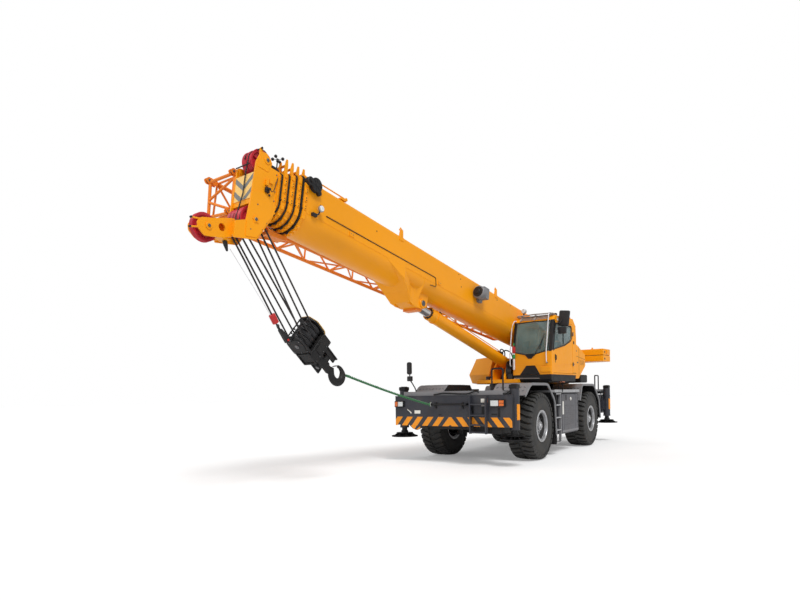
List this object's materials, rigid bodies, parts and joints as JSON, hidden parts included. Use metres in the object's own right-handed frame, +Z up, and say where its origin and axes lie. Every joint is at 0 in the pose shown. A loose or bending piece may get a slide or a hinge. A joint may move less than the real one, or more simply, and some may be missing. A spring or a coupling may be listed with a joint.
{
  "type": "rough terrain crane",
  "caption": "Two-axle rough terrain crane with a slewing cab, telescopic luffing boom, lattice jib, hook block and four telescopic outriggers.",
  "frame": {"origin": "on the ground below the middle of the crane's box, in its travelling pose", "axes": "+X towards the carrier's front and the boom head, +Y to the carrier's left, +Z up"},
  "size_m": [14.6566, 3.5, 5.4581],
  "materials": {
    "orange_paint": "gloss paint",
    "jib_paint": "gloss paint",
    "carrier_paint": "satin paint",
    "deck_paint": "satin paint, tread plate",
    "tyre_rubber": "matt",
    "rim_paint": "satin silver",
    "black_paint": "satin",
    "chrome_rod": "polished",
    "red_nylon": "satin",
    "seat_fabric": "woven",
    "engine_iron": "rough"
  },
  "bodies": {
    "carrier": {"chassis": "carrier_paint", "front_deck": "deck_paint", "rear_deck": "deck_paint", "front_outrigger_box": "carrier_paint", "rear_outrigger_box": "carrier_paint", "front_panel": "carrier_paint", "side_ladder": "deck_paint", "front_ladder": "carrier_paint", "fuel_tank": "carrier_paint", "battery_box": "carrier_paint", "engine": "engine_iron", "engine_hood": "carrier_paint", "front_axle": "carrier_paint", "rear_axle": "carrier_paint"},
    "superstructure": {"turntable": "orange_paint", "counterweight": "orange_paint", "left_housing": "orange_paint", "right_housing": "orange_paint", "cab_shell": "orange_paint", "cab_seat": "seat_fabric"},
    "cab_door": {"cab_door": "orange_paint"},
    "main_winch": {"main_winch": "carrier_paint"},
    "auxiliary_winch": {"auxiliary_winch": "carrier_paint"},
    "boom_base": {"boom_base_section": "orange_paint", "lattice_jib": "jib_paint"},
    "boom_2": {"boom_section_2": "orange_paint"},
    "boom_3": {"boom_section_3": "orange_paint"},
    "boom_4": {"boom_section_4": "orange_paint"},
    "boom_head": {"boom_head_section": "orange_paint"},
    "main_sheaves": {"main_sheaves": "red_nylon"},
    "top_sheaves": {"top_sheaves": "red_nylon"},
    "nose_sheave": {"nose_sheave": "red_nylon"},
    "cylinder_rod": {"cylinder_rod": "chrome_rod"},
    "cylinder_barrel": {"cylinder_barrel": "orange_paint"},
    "hook_block": {"hook_block": "black_paint"},
    "hook": {"hook": "black_paint"},
    "knuckle_front_left": {"knuckle_front_left": "carrier_paint"},
    "wheel_front_left": {"tyre_front_left": "tyre_rubber", "rim_front_left": "rim_paint"},
    "outrigger_beam_front_left": {"outrigger_beam_front_left": "carrier_paint"},
    "jack_front_left": {"jack_float_front_left": "deck_paint"},
    "knuckle_front_right": {"knuckle_front_right": "carrier_paint"},
    "wheel_front_right": {"tyre_front_right": "tyre_rubber", "rim_front_right": "rim_paint"},
    "outrigger_beam_front_right": {"outrigger_beam_front_right": "carrier_paint"},
    "jack_front_right": {"jack_float_front_right": "deck_paint"},
    "knuckle_rear_left": {"knuckle_rear_left": "carrier_paint"},
    "wheel_rear_left": {"tyre_rear_left": "tyre_rubber", "rim_rear_left": "rim_paint"},
    "outrigger_beam_rear_left": {"outrigger_beam_rear_left": "carrier_paint"},
    "jack_rear_left": {"jack_float_rear_left": "deck_paint"},
    "knuckle_rear_right": {"knuckle_rear_right": "carrier_paint"},
    "wheel_rear_right": {"tyre_rear_right": "tyre_rubber", "rim_rear_right": "rim_paint"},
    "outrigger_beam_rear_right": {"outrigger_beam_rear_right": "carrier_paint"},
    "jack_rear_right": {"jack_float_rear_right": "deck_paint"}
  },
  "joints": [
    {"name": "steer_front_left", "type": "hinge", "parent": "carrier", "child": "knuckle_front_left", "pos_m": [-0.97231, 0.93, 0.806], "axis": [0, 0, 1], "range_deg": [-24, 24]},
    {"name": "spin_front_left", "type": "hinge", "parent": "knuckle_front_left", "child": "wheel_front_left", "pos_m": [-0.97231, 1.182, 0.806], "axis": [0, 1, 0], "continuous": true},
    {"name": "extend_front_left", "type": "slide", "parent": "carrier", "child": "outrigger_beam_front_left", "axis": [0, 1, 0], "range_m": [0, 1.65]},
    {"name": "jack_front_left", "type": "slide", "parent": "outrigger_beam_front_left", "child": "jack_front_left", "axis": [0, 0, -1], "range_m": [0, 0.8]},
    {"name": "steer_front_right", "type": "hinge", "parent": "carrier", "child": "knuckle_front_right", "pos_m": [-0.97231, -0.93, 0.806], "axis": [0, 0, 1], "range_deg": [-24, 24]},
    {"name": "spin_front_right", "type": "hinge", "parent": "knuckle_front_right", "child": "wheel_front_right", "pos_m": [-0.97231, -1.182, 0.806], "axis": [0, 1, 0], "continuous": true},
    {"name": "extend_front_right", "type": "slide", "parent": "carrier", "child": "outrigger_beam_front_right", "axis": [0, -1, 0], "range_m": [0, 1.65]},
    {"name": "jack_front_right", "type": "slide", "parent": "outrigger_beam_front_right", "child": "jack_front_right", "axis": [0, 0, -1], "range_m": [0, 0.8]},
    {"name": "steer_rear_left", "type": "hinge", "parent": "carrier", "child": "knuckle_rear_left", "pos_m": [-5.04931, 0.93, 0.806], "axis": [0, 0, 1], "range_deg": [-24, 24]},
    {"name": "spin_rear_left", "type": "hinge", "parent": "knuckle_rear_left", "child": "wheel_rear_left", "pos_m": [-5.04931, 1.182, 0.806], "axis": [0, 1, 0], "continuous": true},
    {"name": "extend_rear_left", "type": "slide", "parent": "carrier", "child": "outrigger_beam_rear_left", "axis": [0, 1, 0], "range_m": [0, 1.65]},
    {"name": "jack_rear_left", "type": "slide", "parent": "outrigger_beam_rear_left", "child": "jack_rear_left", "axis": [0, 0, -1], "range_m": [0, 0.8]},
    {"name": "steer_rear_right", "type": "hinge", "parent": "carrier", "child": "knuckle_rear_right", "pos_m": [-5.04931, -0.93, 0.806], "axis": [0, 0, 1], "range_deg": [-24, 24]},
    {"name": "spin_rear_right", "type": "hinge", "parent": "knuckle_rear_right", "child": "wheel_rear_right", "pos_m": [-5.04931, -1.182, 0.806], "axis": [0, 1, 0], "continuous": true},
    {"name": "extend_rear_right", "type": "slide", "parent": "carrier", "child": "outrigger_beam_rear_right", "axis": [0, -1, 0], "range_m": [0, 1.65]},
    {"name": "jack_rear_right", "type": "slide", "parent": "outrigger_beam_rear_right", "child": "jack_rear_right", "axis": [0, 0, -1], "range_m": [0, 0.8]},
    {"name": "slew", "type": "hinge", "parent": "carrier", "child": "superstructure", "pos_m": [-2.95831, 0, 0], "axis": [0, 0, 1], "continuous": true},
    {"name": "cab_door_swing", "type": "hinge", "parent": "superstructure", "child": "cab_door", "pos_m": [-3.32658, 1.4975, 0], "axis": [0, 0, 1], "range_deg": [0, 85]},
    {"name": "main_winch_turn", "type": "hinge", "parent": "superstructure", "child": "main_winch", "pos_m": [-5.51444, 0.14067, 2.72], "axis": [0.055, 0.9985, 0], "continuous": true},
    {"name": "auxiliary_winch_turn", "type": "hinge", "parent": "superstructure", "child": "auxiliary_winch", "pos_m": [-5.81399, 0.15716, 2.21], "axis": [0.055, 0.9985, 0], "continuous": true},
    {"name": "boom_luff", "type": "hinge", "parent": "superstructure", "child": "boom_base", "pos_m": [-4.56588, 0.08847, 3.036], "axis": [-0.055, -0.9985, 0], "range_deg": [-10.8, 70.7]},
    {"name": "telescope_2", "type": "slide", "parent": "boom_base", "child": "boom_2", "axis": [0.9854, -0.0542, 0.1615], "range_m": [0, 7.9]},
    {"name": "telescope_3", "type": "slide", "parent": "boom_2", "child": "boom_3", "axis": [0.9854, -0.0542, 0.1615], "range_m": [0, 7.9]},
    {"name": "telescope_4", "type": "slide", "parent": "boom_3", "child": "boom_4", "axis": [0.9854, -0.0542, 0.1615], "range_m": [0, 7.9]},
    {"name": "telescope_5", "type": "slide", "parent": "boom_4", "child": "boom_head", "axis": [0.9854, -0.0542, 0.1615], "range_m": [0, 7.9]},
    {"name": "cylinder_turn", "type": "hinge", "parent": "boom_base", "child": "cylinder_rod", "pos_m": [1.87851, -0.26619, 3.53512], "axis": [-0.055, -0.9985, 0], "range_deg": [-1.33, 8.63]},
    {"name": "cylinder_stroke", "type": "slide", "parent": "cylinder_rod", "child": "cylinder_barrel", "axis": [-0.9653, 0.0531, -0.2556], "range_m": [-0.378, 2.4699]},
    {"name": "main_sheaves_spin", "type": "hinge", "parent": "boom_head", "child": "main_sheaves", "pos_m": [6.28815, -0.50886, 4.28841], "axis": [0.055, 0.9985, 0], "continuous": true},
    {"name": "top_sheaves_spin", "type": "hinge", "parent": "boom_head", "child": "top_sheaves", "pos_m": [6.03979, -0.49519, 5.25087], "axis": [0.055, 0.9985, 0], "continuous": true},
    {"name": "nose_sheave_spin", "type": "hinge", "parent": "boom_head", "child": "nose_sheave", "pos_m": [7.02451, -0.54939, 4.05446], "axis": [0.055, 0.9985, 0], "continuous": true},
    {"name": "hook_block_swing", "type": "hinge", "parent": "boom_head", "child": "hook_block", "pos_m": [6.28815, -0.50886, 4.28841], "axis": [-0.055, -0.9985, 0], "range_deg": [-37.21, 5.69]},
    {"name": "hook_swivel", "type": "hinge", "parent": "hook_block", "child": "hook", "pos_m": [4.56636, -0.41411, 2.14073], "axis": [0.7362, -0.0405, 0.6756], "continuous": true}
  ],
  "couplings": [
    {"joint": "steer_front_right", "follows": "steer_front_left", "ratio": 1},
    {"joint": "steer_rear_right", "follows": "steer_rear_left", "ratio": 1},
    {"joint": "telescope_3", "follows": "telescope_2", "ratio": 1},
    {"joint": "telescope_4", "follows": "telescope_2", "ratio": 1},
    {"joint": "telescope_5", "follows": "telescope_2", "ratio": 1},
    {"joint": "cylinder_turn", "follows": "boom_luff", "ratio": 0.12198},
    {"joint": "cylinder_stroke", "follows": "boom_luff", "m_per_rad": 2.0007},
    {"joint": "hook_block_swing", "follows": "boom_luff", "ratio": -0.52619}
  ]
}
